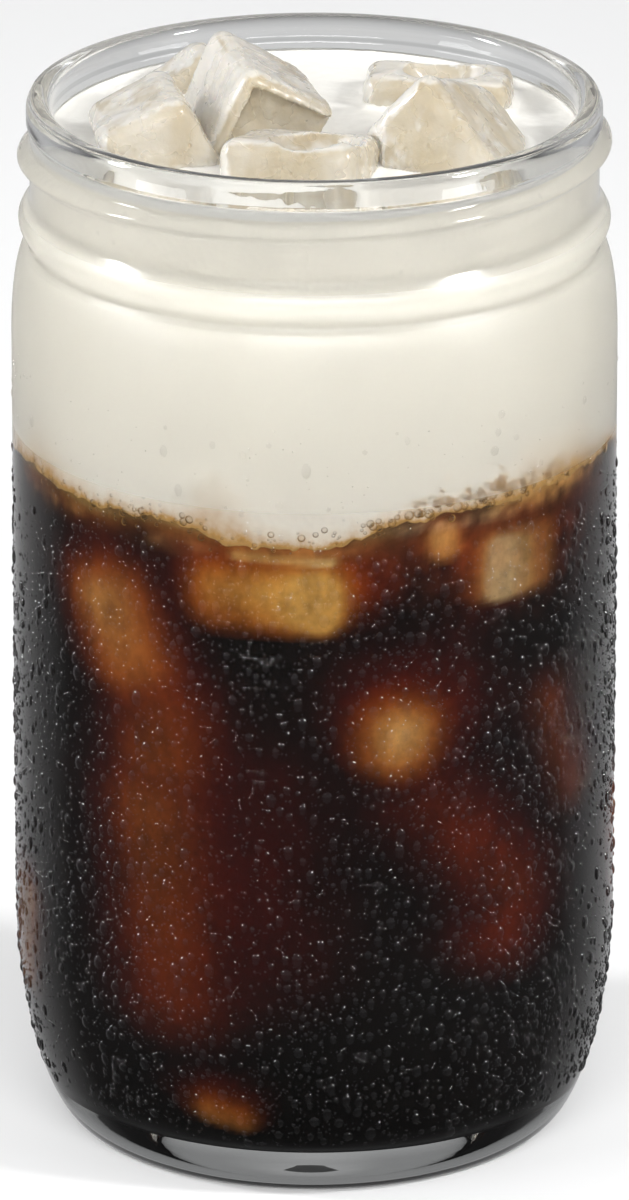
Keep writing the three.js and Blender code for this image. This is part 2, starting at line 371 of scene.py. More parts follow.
def add_modifier(piece, kind, **settings):
    only(piece)
    modifier = piece.modifiers.new(kind.title(), kind)
    for key, value in settings.items():
        setattr(modifier, key, value)
    bpy.ops.object.modifier_apply(modifier=modifier.name)


def note(piece, name, values, kind="FLOAT", field="value"):
    """Keeps a value or a colour for each point of the mesh."""
    attribute = piece.data.attributes.new(name, kind, "POINT")
    attribute.data.foreach_set(field, np.asarray(values, dtype=np.float32).ravel())


def freeze(piece):
    """Puts the piece's place and turn into its mesh."""
    only(piece)
    bpy.ops.object.transform_apply(location=True, rotation=True, scale=True)


def dress(piece, material, slot, *nodes):
    piece.data.materials.clear()
    piece.data.materials.append(material)
    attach(piece, BODY)
    if nodes:
        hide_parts(*nodes)


def surface_tree(pieces):
    """Search tree over the faces of several pieces, in metres."""
    vertices = []
    faces = []
    for piece in pieces:
        start = len(vertices)
        vertices += [v.co.copy() for v in piece.data.vertices]
        faces += [[start + i for i in face.vertices] for face in piece.data.polygons]
    return BVHTree.FromPolygons(vertices, faces)


# Shader helpers


class Value:
    """A node's output that takes Python arithmetic, with each step as a Math node."""

    def __init__(self, paint, socket):
        self.paint = paint
        self.socket = socket

    def math(self, operation, *others):
        values = {i: other for i, other in enumerate((self,) + others)}
        return self.paint.node("ShaderNodeMath", {"operation": operation}, values)

    def __add__(self, other):
        return self.math("ADD", other)

    def __sub__(self, other):
        return self.math("SUBTRACT", other)

    def __rsub__(self, other):
        return self.paint.node("ShaderNodeMath", {"operation": "SUBTRACT"}, {0: other, 1: self})

    def __mul__(self, other):
        return self.math("MULTIPLY", other)

    def __truediv__(self, other):
        return self.math("DIVIDE", other)

    def step(self, low, high, kind="SMOOTHSTEP"):
        """0 below low, 1 above high, and smooth between them."""
        sockets = {"Value": self, "From Min": low, "From Max": high}
        return self.paint.node("ShaderNodeMapRange", {"interpolation_type": kind}, sockets)


class Nodes:
    """The nodes of a material or of the world."""

    def __init__(self, data):
        data.use_nodes = True
        self.tree = data.node_tree

    def link(self, socket, value):
        if isinstance(value, Value):
            self.tree.links.new(value.socket, socket)
        elif socket.type == "RGBA":
            socket.default_value = (*value, 1.0)
        else:
            socket.default_value = value

    def node(self, kind, settings=None, sockets=None, output=0):
        made = self.tree.nodes.new(kind)
        for key, value in (settings or {}).items():
            if key == "stops":
                self.set_stops(made.color_ramp, value)
            else:
                setattr(made, key, value)
        for key, value in (sockets or {}).items():
            self.link(made.inputs[key], value)
        return Value(self, made.outputs[output])

    def set_stops(self, ramp, stops):
        while len(ramp.elements) > 1:
            ramp.elements.remove(ramp.elements[-1])
        for i, (position, colour) in enumerate(stops):
            element = ramp.elements[0] if i == 0 else ramp.elements.new(position)
            element.position = position
            element.color = (*colour, 1.0)

    def part(self, vector, axis):
        return self.node("ShaderNodeSeparateXYZ", None, {0: vector}, axis)

    def mix(self, share, first, second, blend="MIX"):
        settings = {"data_type": "RGBA", "blend_type": blend}
        return self.node("ShaderNodeMix", settings, {0: share, 6: first, 7: second}, 2)


class Paint(Nodes):
    """One material and the nodes that make its finish."""

    def __init__(self, name):
        self.material = bpy.data.materials.new(name)
        super().__init__(self.material)
        self.shader = self.tree.nodes["Principled BSDF"]
        self.place = self.node("ShaderNodeTexCoord", None, None, "Object")

    def noise(self, size, detail=2.0, roughness=0.5, at=None):
        """Soft noise from 0 to 1 whose lumps are about size metres across."""
        sockets = {"Vector": at or self.place, "Scale": 1 / size, "Detail": detail}
        sockets["Roughness"] = roughness
        return self.node("ShaderNodeTexNoise", None, sockets, "Fac")

    def cells(self, size):
        """Distance from the nearest of many scattered points, in units of size."""
        sockets = {"Vector": self.place, "Scale": 1 / size}
        return self.node("ShaderNodeTexVoronoi", None, sockets, "Distance")

    def attribute(self, name, output="Fac"):
        return self.node("ShaderNodeAttribute", {"attribute_name": name}, None, output)

    def height(self):
        """Height of the shaded point in millimetres."""
        return self.part(self.place, "Z") * (1 / MM)

    def stretched(self, scale):
        sockets = {"Vector": self.place, "Scale": scale}
        return self.node("ShaderNodeMapping", None, sockets)

    def bump(self, height, distance, strength):
        sockets = {"Height": height, "Distance": distance, "Strength": strength}
        return self.node("ShaderNodeBump", None, sockets)

    def finish(self, **sockets):
        for name, value in sockets.items():
            self.link(self.shader.inputs[name.replace("_", " ")], value)
        return self.material

    def see_through(self, share):
        """Leaves only a share of the finish, and lets light straight through the rest."""
        finished = Value(self, self.shader.outputs["BSDF"])
        clear = self.node("ShaderNodeBsdfTransparent")
        mixed = self.node("ShaderNodeMixShader", None, {0: share, 1: clear, 2: finished})
        self.link(self.tree.nodes["Material Output"].inputs["Surface"], mixed)
        return self.material


def glass_finish():
    paint = Paint("clear_jar_glass")
    waves = paint.noise(0.018, 1.0)
    # The glass is painted grey near its foot, darker towards the bottom
    near_foot = 1.0 - paint.height().step(*GREY_FOOT)
    tint = paint.mix(near_foot, (0.985, 0.992, 0.99), (0.46, 0.465, 0.465))
    dewy = paint.height().step(*DEW_STARTS) - paint.height().step(*DEW_ENDS)
    return paint.finish(
        Base_Color=tint,
        Roughness=dewy * 0.38,
        IOR=GLASS_IOR,
        Transmission_Weight=1.0,
        Normal=paint.bump(waves, 0.00025, 0.5),
    )


def coffee_finish(dark):
    paint = Paint("black_coffee")
    # Painted light: the colour noted on the coffee stands for light that comes back through it from
    # the sunk ice and the cream, with foam under the cream; streaks and grain break it up
    glow = paint.attribute("glow", "Color")
    streaks = paint.noise(0.006, 4.0, 0.6, paint.stretched((1.0, 1.0, 0.45)))
    grain = paint.noise(0.0016, 3.0, 0.6).step(0.25, 0.75)
    light = streaks.step(0.3, 0.7) * 0.5 + grain * 0.3 + 0.62
    grey = paint.node("ShaderNodeCombineColor", None, {0: light, 1: light, 2: light})
    tinted = paint.mix(1.0, glow, grey, "MULTIPLY")
    haze = paint.mix(paint.noise(0.02, 3.0), dark, scaled(dark, 1.5))
    colour = paint.mix(1.0, tinted, haze, "ADD")
    return paint.finish(Base_Color=colour, Roughness=0.35, Specular_IOR_Level=0.1)


def cream_finish(cream, gold, level):
    """Off-white foam whose lower edge frays into gold and brown where it meets the coffee."""
    paint = Paint("salted_cream")
    rise = paint.attribute("rise")
    reach = paint.attribute("reach")
    lumps = (paint.noise(0.0045, 4.0, 0.65) - 0.5) * 3.4
    grain = (paint.noise(0.0013, 3.0, 0.7) - 0.5) * 1.8
    along = (rise + grain + lumps * reach * 0.6) / reach
    fringe = paint.node("ShaderNodeValToRGB", {"stops": foam_stops(gold, cream)}, {0: along * 0.25})
    clouds = paint.noise(0.012, 3.0, 0.6).step(0.35, 0.7)
    body = paint.mix(clouds * 0.8, cream, scaled(cream, 0.945))
    top = paint.height().step(level - 1.2, level - 0.2)
    whiter = paint.mix(top * 0.9, body, (0.80, 0.785, 0.745))
    flecks = (1.0 - paint.cells(0.0042).step(0.05, 0.11)) * 0.25
    dotted = paint.mix(flecks, whiter, scaled(cream, 0.75))
    colour = paint.mix(along.step(2.2, 4.0), fringe, dotted)
    pores = paint.bump(paint.cells(0.0011), 0.00012, 0.35)
    return paint.finish(Base_Color=colour, Roughness=0.42, Specular_IOR_Level=0.35, Normal=pores)


def foam_stops(gold, cream):
    """Colours of the foam from the coffee up into the cream."""
    pale, paler = (Vector(gold).lerp(Vector(cream), share) for share in (0.45, 0.8))
    return ((0.0, scaled(gold, 0.78)), (0.07, gold), (0.2, pale), (0.4, paler), (0.8, cream))


def ice_finish(name, ice, cream_and_highlight, cream_level):
    """Cloudy ice with streaks and pits and a painted highlight on its ridges, whiter on its left
    faces, and whitened by cream on its top faces and at its foot.
    """
    paint = Paint(name)
    streaks = paint.noise(0.005, 3.0, 0.55, paint.stretched((1.0, 1.0, 0.22))).step(0.38, 0.62)
    cloud = paint.noise(0.010, 3.0, 0.5).step(0.35, 0.66)
    body = paint.mix(streaks * 0.3 + cloud * 0.6, ice.clear, ice.cloudy)
    stain = paint.noise(0.013, 2.0).step(0.46, 0.72) * 0.5
    tan = paint.mix(stain, body, ice.tan)
    pits = (1.0 - paint.cells(0.0015).step(0.1, 0.28)) * paint.noise(0.006, 2.0).step(0.48, 0.62)
    pitted = paint.mix(pits * 0.35, tan, ice.tan)
    # Painted highlight: ridges are painted lighter, towards the cream colour
    ridge_highlighted = paint.mix(paint.attribute("ridge") * 0.3, pitted, cream_and_highlight)
    facing = paint.node("ShaderNodeTexCoord", None, None, "Normal")
    left = paint.part(facing, "X") * -1.0
    up = paint.part(facing, "Z")
    ragged_side = (paint.noise(0.006, 3.0, 0.6) - 0.5) * 0.9
    level = paint.height() + (paint.noise(0.004, 3.0, 0.6) - 0.5) * 3.0
    foot = 1.0 - level.step(cream_level + 0.1, cream_level + 1.4)
    # Faces turned to the left are made whiter
    whiter_left = (left + ragged_side).step(0.42, 0.62)
    capped = (up + ragged_side).step(0.72, 0.95)
    white = (0.87, 0.855, 0.82)
    whitened_left = paint.mix(whiter_left * 0.85, ridge_highlighted, white)
    topped = paint.mix(capped * 0.65, whitened_left, white)
    colour = paint.mix(foot * 0.7, topped, cream_and_highlight)
    frost = paint.noise(0.0012, 4.0, 0.7)
    relief = paint.bump(frost - pits, 0.0002, 0.55)
    return paint.finish(
        Base_Color=colour,
        Roughness=paint.noise(0.004, 2.0).step(0.35, 0.7) * 0.3 + 0.15,
        IOR=ICE_IOR,
        Transmission_Weight=0.42,
        Subsurface_Weight=0.4,
        Subsurface_Radius=(1.0, 0.85, 0.6),
        Subsurface_Scale=0.003,
        Coat_Weight=0.4,
        Coat_Roughness=0.05,
        Normal=relief,
    )


def drop_finish(name, shine):
    """Water: clear but for what it mirrors, most of it at its rim."""
    paint = Paint(name)
    paint.finish(Base_Color=(1.0, 1.0, 1.0), Metallic=1.0, Roughness=0.03)
    return paint.see_through(paint.node("ShaderNodeFresnel", None, {"IOR": shine}))


def bubble_finish(gold):
    """A film that is clear in the middle and tan at its rim."""
    paint = Paint("foam_bubbles")
    brown = scaled(gold, 0.55)
    tint = paint.mix(paint.noise(0.004, 2.0).step(0.35, 0.65), brown, gold)
    paint.finish(Base_Color=tint, Roughness=0.05, IOR=GLASS_IOR)
    facing = paint.node("ShaderNodeLayerWeight", None, {"Blend": 0.5}, "Facing")
    return paint.see_through(facing.step(0.03, 0.6) * 0.8 + 0.1)


def floor_finish(colour):
    paint = Paint("studio_floor")
    cloud = paint.noise(0.6, 2.0)
    tint = paint.mix(cloud * 0.2, colour, scaled(colour, 0.97))
    return paint.finish(Base_Color=tint, Roughness=0.6, Specular_IOR_Level=0.2)


# Settings that a user would change


def length(name, description, default):
    return bpy.props.FloatProperty(
        name=name, description=description, default=default * MM, unit="LENGTH", precision=5
    )


def shade(name, description, default):
    return bpy.props.FloatVectorProperty(
        name=name, description=description, default=default, subtype="COLOR", size=3, min=0, max=1
    )


def count(name, description, default):
    return bpy.props.IntProperty(name=name, description=description, default=default, min=0)


class JarSettings(bpy.types.PropertyGroup):
    segments: count("Segments", "Steps round the jar", 192)
    thread_height: length("Thread height", "How far the thread stands out", THREAD_HEIGHT)


class DrinkSettings(bpy.types.PropertyGroup):
    segments: count("Segments", "Steps round the cream", 512)
    cream_level: length("Cream level", "Height of the cream's surface", CREAM_TOP)
    dark: shade("Coffee", "Colour of deep coffee", (0.006, 0.0046, 0.004))
    cream: shade("Cream", "Colour of the cream", (0.90, 0.86, 0.76))
    gold: shade("Foam edge", "Colour where cream meets coffee", (0.56, 0.32, 0.10))
    # Colour of the painted light that comes back through the coffee from the sunk ice
    painted_glow_colour: shade("Amber", "Colour of sunk ice at the glass", (0.56, 0.335, 0.145))


class IceSettings(bpy.types.PropertyGroup):
    grain: length("Grain", "Size of the steps in the ice's surface", 0.4)
    clear: shade("Clear ice", "Colour of clear ice", (0.54, 0.465, 0.335))
    cloudy: shade("Cloudy ice", "Colour of cloudy ice", (0.69, 0.645, 0.56))
    tan: shade("Stained ice", "Colour of coffee-stained ice", (0.40, 0.315, 0.19))


class DropSettings(bpy.types.PropertyGroup):
    large: count("Large drops", "Drops of about a millimetre", 2200)
    medium: count("Medium drops", "Drops of about half a millimetre", 5600)
    mist: count("Mist", "Specks of dew", 13000)
    seed: count("Seed", "Start of the random draw", 7)


class StageSettings(bpy.types.PropertyGroup):
    distance: length("Camera distance", "From the camera to the point it looks at", 1614.74)
    elevation: bpy.props.FloatProperty(
        name="Elevation", description="Camera angle above level", default=0.346887, subtype="ANGLE"
    )
    aim_height: length("Aim height", "Height that the camera looks at", 70.61)
    lens: bpy.props.FloatProperty(name="Lens", description="Focal length in mm", default=368.71)
    floor: shade("Floor", "Colour of the floor", (0.86, 0.86, 0.86))


class Piece:
    """What the operators have in common."""

    bl_options = {"REGISTER", "UNDO"}


class COFFEE_OT_jar(Piece, bpy.types.Operator):
    """Spin the clear jar with its thread, bead and lip"""

    bl_idname = "coffee.jar"
    bl_label = "Jar"

    def execute(self, context):
        settings = context.scene.coffee_jar
        jar = spun("jar_glass", jar_section(), settings.segments)
        self.raise_thread(jar, settings.thread_height / MM)
        dress(jar, glass_finish(), "glass", "jar")
        return {"FINISHED"}

    def raise_thread(self, jar, height):
        at = points(jar)
        angle, radius = polar(at)
        climb = THREAD_PITCH / TURN * np.minimum(angle, THREAD_END - THREAD_FADE)
        fall = smoothstep(angle, THREAD_END, pi)
        middle = THREAD_MIDDLE + climb * (1 - fall) - THREAD_PITCH / 2 * fall
        share = smoothstep(angle, THREAD_START, THREAD_START + THREAD_FADE)
        share = share * (1 - smoothstep(angle, THREAD_END - THREAD_FADE, THREAD_END))
        across = np.clip((at[:, 2] - middle) / THREAD_HALF_WIDTH, -1, 1)
        ridge = height * share * np.cos(across * pi / 2) ** 1.4
        on_neck = (at[:, 2] > BEAD_HEIGHT + 2) & (radius > NECK_RADIUS - 0.4)
        grown = np.where(on_neck, np.maximum(radius, NECK_RADIUS + ridge), radius)
        scale = np.where(radius > 0, grown / np.maximum(radius, 1e-9), 1.0)
        at[:, :2] *= scale[:, None]
        set_points(jar, at)


class COFFEE_OT_sunk_ice(Piece, bpy.types.Operator):
    """Model the ice blocks that lie wholly in the coffee"""

    bl_idname = "coffee.sunk_ice"
    bl_label = "Sunk ice"

    # Room in millimetres that is kept from the glass and from the floor
    FROM_GLASS = 0.12
    FROM_FLOOR = 0.3

    def execute(self, context):
        ice = context.scene.coffee_ice
        drink = context.scene.coffee_drink
        finish = ice_finish("sunk_ice", ice, drink.gold, 0.0)
        self.wall = radius_finder(inner_wall_rows(10))
        for name, *facts, tint in SUNK_ICE:
            dress(self.block("ice_sunk_" + name, *facts), finish, "ice")
        return {"FINISHED"}

    def block(self, name, angle, height, depth, size, turns, rounding):
        out = self.wall(height) - depth - size[1] / 2
        bpy.ops.mesh.primitive_cube_add(size=1)
        piece = bpy.context.active_object
        piece.name = name
        piece.scale = [side * MM for side in size]
        freeze(piece)
        add_modifier(piece, "BEVEL", width=rounding * MM, segments=5, limit_method="NONE")
        add_modifier(piece, "SUBSURF", levels=1, render_levels=1)
        lean, roll, yaw = turns
        piece.rotation_euler = Euler([radians(t) for t in (lean, roll, yaw + angle)], "XYZ")
        piece.location = (facing_out(radians(angle)) * out + Vector((0, 0, height))) * MM
        freeze(piece)
        self.keep_inside(piece)
        bpy.ops.object.shade_smooth()
        return piece

    def keep_inside(self, piece):
        """Presses what would cross the glass flat against its inner wall."""
        at = points(piece)
        limit = self.wall(at[:, 2]) - self.FROM_GLASS
        scale = np.minimum(1.0, limit / np.maximum(polar(at)[1], 1e-6))
        at[:, :2] *= scale[:, None]
        at[:, 2] = np.maximum(at[:, 2], FLOOR_HEIGHT + self.FROM_FLOOR)
        set_points(piece, at)


class COFFEE_OT_coffee(Piece, bpy.types.Operator):
    """Spin the coffee and paint into its colour the light that comes back from the sunk ice"""

    bl_idname = "coffee.coffee"
    bl_label = "Coffee"

    # Share of light that a millimetre of coffee takes away, for red, green and blue
    ABSORPTION = (0.28, 0.60, 1.05)
    # How far the coffee stands behind the cream's edge, and reaches up there and into the floor
    BEHIND_CREAM = 0.02
    UP_BEHIND_CREAM = 1.2
    INTO_FLOOR = 0.1
    # Rays that look for ice. They start just outside, and the skin over the ice isn't counted
    RAYS = 16
    SPREAD = 0.4
    DOWNWARD = 0.26
    RAY_LENGTH = 30
    NO_ICE = 60.0
    GOLDEN_ANGLE = 2.39996
    OUTSIDE = 0.2
    SKIN = 0.3
    # Painted light from the cream: strength of the golden fringe under it, and how much faster it
    # fades than other light
    FRINGE = 0.7
    FRINGE_FADE = 1.9
    # Faint painted glow on the right, in degrees and millimetres, and how each colour fades
    GLOW_MIDDLE = 32
    GLOW_WIDTH = 26
    GLOW_REACH = 5.0
    GLOW = 0.26
    GLOW_FADE = (0.9, 1.9, 2.8)

    def execute(self, context):
        drink = context.scene.coffee_drink
        wall = INNER_RADIUS + WALL_OVERLAP - self.BEHIND_CREAM
        low = FLOOR_HEIGHT - self.INTO_FLOOR
        corner = corner_rows(FLOOR_RADIUS, low, wall, INNER_CURVE_TOP, INNER_CURVE_POWER, 26)
        side = [(wall, z) for z in np.linspace(INNER_CURVE_TOP, BOUNDARY_LEVEL, 116)[1:]]
        surface = [(wall * s, BOUNDARY_LEVEL) for s in (0.985, 0.96, 0.9, 0.8, 0.6, 0.3, 0)]
        floor = [(0, low), (FLOOR_RADIUS * 0.6, low)]
        coffee = spun("coffee_body", floor + corner + side + surface, drink.segments * 5 // 8)
        self.wave(coffee, wall)
        # Painted light: the colour that comes back through the coffee is noted on each of its points
        glow = self.glow(coffee, drink.painted_glow_colour, drink.gold)
        note(coffee, "glow", np.c_[glow, np.ones(len(glow))], "FLOAT_COLOR", "color")
        dress(coffee, coffee_finish(drink.dark), "coffee", "coffee")
        return {"FINISHED"}

    def wave(self, coffee, wall):
        """Stretches the upper part so that its rim follows the wavy line under the cream."""
        at = points(coffee)
        angle, radius = polar(at)
        rim = boundary_height(angle) - BOUNDARY_LEVEL + self.UP_BEHIND_CREAM
        share = smoothstep(at[:, 2], BOUNDARY_LEVEL - BOUNDARY_REACH, BOUNDARY_LEVEL)
        at[:, 2] += rim * share * (radius / wall) ** 2
        set_points(coffee, at)

    def glow(self, coffee, painted_glow_colour, gold):
        """Painted light: colour that comes back through the coffee from the sunk ice at each point of
        its surface, with the painted light under the cream and the foam added.
        """
        ice = [bpy.data.objects["ice_sunk_" + row[0]] for row in SUNK_ICE]
        tree = surface_tree(ice)
        tints = np.repeat([row[-1] for row in SUNK_ICE], [len(o.data.polygons) for o in ice], axis=0)
        at = points(coffee)
        fan = self.fan()
        colours = np.zeros((len(at), 3))
        for i, (x, y, z) in enumerate(at):
            if hypot(x, y) < INNER_RADIUS / 2:
                continue
            outward = Vector((x, y, 0)).normalized()
            across = Vector((-outward.y, outward.x, 0))
            start = (Vector((x, y, z)) + outward * self.OUTSIDE) * MM
            seen = [self.depth(tree, start, outward, across, ray) for ray in fan]
            left = np.exp(-np.outer([depth for depth, face in seen], self.ABSORPTION))
            colours[i] = (left * tints[[face for depth, face in seen]]).mean(axis=0)
        colours *= np.array(painted_glow_colour)
        angle = polar(at)[0]
        return colours + self.rim_glow(at, angle, painted_glow_colour, gold) + self.foam(at, angle)

    def rim_glow(self, at, angle, painted_glow_colour, gold):
        """Painted light from the cream above: a golden fringe under it, and a fainter glow that
        reaches deeper on the right.
        """
        below = np.maximum(boundary_height(angle) - at[:, 2], 0.0)
        away = (np.degrees(angle) - self.GLOW_MIDDLE) / self.GLOW_WIDTH
        side = 0.25 + np.exp(-(away**2))[:, None]
        patch = np.array([0.5 + 1.2 * noise.noise(Vector((x / 11, y / 11, z / 7))) for x, y, z in at])
        patch = np.clip(patch, 0.1, 1.1)[:, None] * (0.4 + 0.5 * side)
        fade = np.array(self.ABSORPTION) * self.FRINGE_FADE
        fringe = np.exp(-np.outer(below, fade)) * np.array(gold) * self.FRINGE
        faint = np.exp(-np.outer(below / self.GLOW_REACH, self.GLOW_FADE)) * np.array(painted_glow_colour)
        return (fringe + faint * self.GLOW * side) * patch

    def foam(self, at, angle):
        """Blotches of foam just under the cream, and the painted light they send back through thin
        coffee.
        """
        lumps = [0.7 + 1.3 * noise.noise(Vector(place) / 1.9) for place in at]
        lumps = np.clip(lumps, 0.0, 1.3)[:, None]
        colours = np.zeros((len(at), 3))
        for middle, height, width, reach, colour in FOAM:
            sideways = (np.degrees(angle) - middle) / width
            upwards = (at[:, 2] - height) / reach
            share = np.exp(-(sideways**2) - upwards**2)
            colours += share[:, None] * np.array(colour) * lumps
        return colours

    def fan(self):
        """Directions into the coffee: a spiral inside a cone."""
        rays = []
        for i in range(self.RAYS):
            reach = self.SPREAD * sqrt((i + 0.5) / self.RAYS)
            a = i * self.GOLDEN_ANGLE
            rays.append((reach * cos(a), reach * sin(a) - self.DOWNWARD))
        return rays

    def depth(self, tree, start, outward, across, ray):
        direction = (across * ray[0] - outward + Vector((0, 0, ray[1]))).normalized()
        hit = tree.ray_cast(start, direction, self.RAY_LENGTH * MM)
        if hit[0] is None:
            return self.NO_ICE, 0
        return max(hit[3] / MM - self.SKIN, 0.0), hit[2]


class COFFEE_OT_ice(Piece, bpy.types.Operator):
    """Melt the blocks that stand out of the cream"""

    bl_idname = "coffee.ice"
    bl_label = "Floating ice"

    # Size and height of the lumps of the melted surface, in metres
    RELIEF = ((0.0070, 0.0008), (0.0020, 0.00028))
    # Wear in millimetres between which a point goes from face to ridge, where the ice gets a painted
    # highlight
    WEAR = (0.08, 0.24)

    def execute(self, context):
        ice = context.scene.coffee_ice
        drink = context.scene.coffee_drink
        finish = ice_finish("cream_wet_ice", ice, drink.cream, drink.cream_level / MM)
        for name in FLOATING_ICE:
            dress(self.block(name, ice.grain), finish, "ice", name)
        return {"FINISHED"}

    def block(self, name, grain):
        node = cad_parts[name]
        only(node)
        bpy.ops.object.duplicate()
        piece = bpy.context.active_object
        piece.name = name + "_wet"
        piece.data.name = piece.name
        piece.parent = None
        for key in list(piece.keys()):
            del piece[key]
        mode("EDIT")
        bpy.ops.mesh.select_all(action="SELECT")
        bpy.ops.mesh.remove_doubles(threshold=WELD)
        mode("OBJECT")
        add_modifier(piece, "REMESH", mode="VOXEL", voxel_size=grain)
        sharp = points(piece)
        add_modifier(piece, "SMOOTH", factor=0.5, iterations=2)
        self.mark_edges(piece, sharp)
        for size, strength in self.RELIEF:
            self.roughen(piece, size, strength)
        bpy.ops.object.shade_smooth()
        return piece

    def mark_edges(self, piece, sharp):
        """Notes how strongly the smoothing has worn each point, which tells ridges from faces for the
        painted highlight on the ice's ridges.
        """
        worn = np.linalg.norm(points(piece) - sharp, axis=1)
        note(piece, "ridge", smoothstep(worn, *self.WEAR))

    def roughen(self, piece, size, strength):
        clouds = bpy.data.textures.new("melt", "CLOUDS")
        clouds.noise_scale = size
        clouds.noise_depth = 2
        add_modifier(
            piece, "DISPLACE", texture=clouds, strength=strength, mid_level=0.5, texture_coords="LOCAL"
        )


class COFFEE_OT_cream(Piece, bpy.types.Operator):
    """Spin the cream, fray its lower edge and draw it up round the ice"""

    bl_idname = "coffee.cream"
    bl_label = "Cream"

    # The lowest rows are close, so that the edge's shading doesn't spread
    LEDGE = 0.1
    # How the cream climbs at ice and glass: width, and height and reach at the ice
    CLIMB_WIDTH = 0.7
    ICE_CLIMB = 0.75
    NEAR = 6.0
    # Ripples on top: height in millimetres, and how many there are to the metre
    RIPPLES = ((0.12, 160), (0.05, 600))

    def execute(self, context):
        drink = context.scene.coffee_drink
        wall = INNER_RADIUS + WALL_OVERLAP
        level = drink.cream_level / MM
        underside = [(wall * s, BOUNDARY_LEVEL) for s in (0, 0.4, 0.7, 0.88, 0.96, 0.985)]
        low = np.linspace(BOUNDARY_LEVEL, INNER_SHOULDER_BOTTOM, 26)
        low = np.insert(low, 1, BOUNDARY_LEVEL + self.LEDGE)
        side = [(wall, z) for z in low[:-1]]
        upper = inner_wall_rows(10)[:11][::-1]
        upper += [(MOUTH_RADIUS + 0.15, z) for z in (126.0, 131.0, level)]
        upper = [(radius + WALL_OVERLAP, z) for radius, z in upper]
        rim = upper[-1][0]
        top = [(rim, level + MENISCUS_RISE)]
        rings = np.concatenate([np.linspace(rim - 0.3, rim - 3, 9), np.arange(rim - 3.4, 1, -0.45)])
        top += [(r, level) for r in rings] + [(0, level)]
        cream = spun("cream_layer", underside + side + upper + top, drink.segments)
        self.settle(cream, wall, rim, level)
        dress(cream, cream_finish(drink.cream, drink.gold, level), "cream", "cream")
        return {"FINISHED"}

    def settle(self, cream, wall, rim, level):
        ice = [bpy.data.objects[name + "_wet"] for name in FLOATING_ICE]
        tree = surface_tree(ice)
        at = points(cream)
        angle, radius = polar(at)
        line = boundary_height(angle)
        steps = ragged(angle)
        share = 1 - smoothstep(at[:, 2], BOUNDARY_LEVEL, BOUNDARY_LEVEL + BOUNDARY_REACH)
        at[:, 2] += (line - BOUNDARY_LEVEL + steps) * share * (radius / wall) ** 2
        on_top = (at[:, 2] > level - 0.01) & (radius < rim - 0.01)
        for i in np.flatnonzero(on_top):
            place = Vector(at[i]) * MM
            near = tree.find_nearest(place, self.NEAR * MM)
            gap = near[3] / MM if near[0] is not None else self.NEAR
            climb = self.ICE_CLIMB * exp(-gap / self.CLIMB_WIDTH)
            climb += MENISCUS_RISE * exp(-(rim - radius[i]) / self.CLIMB_WIDTH)
            ripple = sum(height * noise.noise(place * pace) for height, pace in self.RIPPLES)
            at[i, 2] += climb + ripple
        set_points(cream, at)
        note(cream, "rise", at[:, 2] - line - steps)
        note(cream, "reach", stain_height(angle))


def scattered_beads(name, places, sides, rings, height_share):
    """Joins many domed beads, open below where they lie on the glass, in one mesh.

    Each place is (position, outward, up, width, stretch).
    """
    shape = []
    for ring in range(rings):
        tilt = pi / 2 * ring / rings
        for k in range(sides):
            a = TURN * k / sides
            shape.append((cos(a) * cos(tilt), sin(a) * cos(tilt), sin(tilt)))
    shape = np.array(shape + [(0, 0, 1)])
    faces = []
    top = rings * sides
    for low in range(0, top, sides):
        high = low + sides
        for k in range(sides):
            following = (k + 1) % sides
            tip = (top,) if high == top else (high + following, high + k)
            faces.append((low + k, low + following, *tip))
    vertices = []
    polygons = []
    for index, (place, outward, up, width, stretch) in enumerate(places):
        across = up.cross(outward)
        axes = np.array([across * width, up * width * stretch, outward * width * height_share])
        vertices.append(shape @ axes + np.array(place))
        start = index * len(shape)
        polygons += [tuple(start + i for i in face) for face in faces]
    mesh = bpy.data.meshes.new(name)
    mesh.from_pydata(np.concatenate(vertices).tolist(), [], polygons)
    mesh.update()
    piece = added(name, mesh)
    only(piece)
    bpy.ops.object.shade_smooth()
    return piece


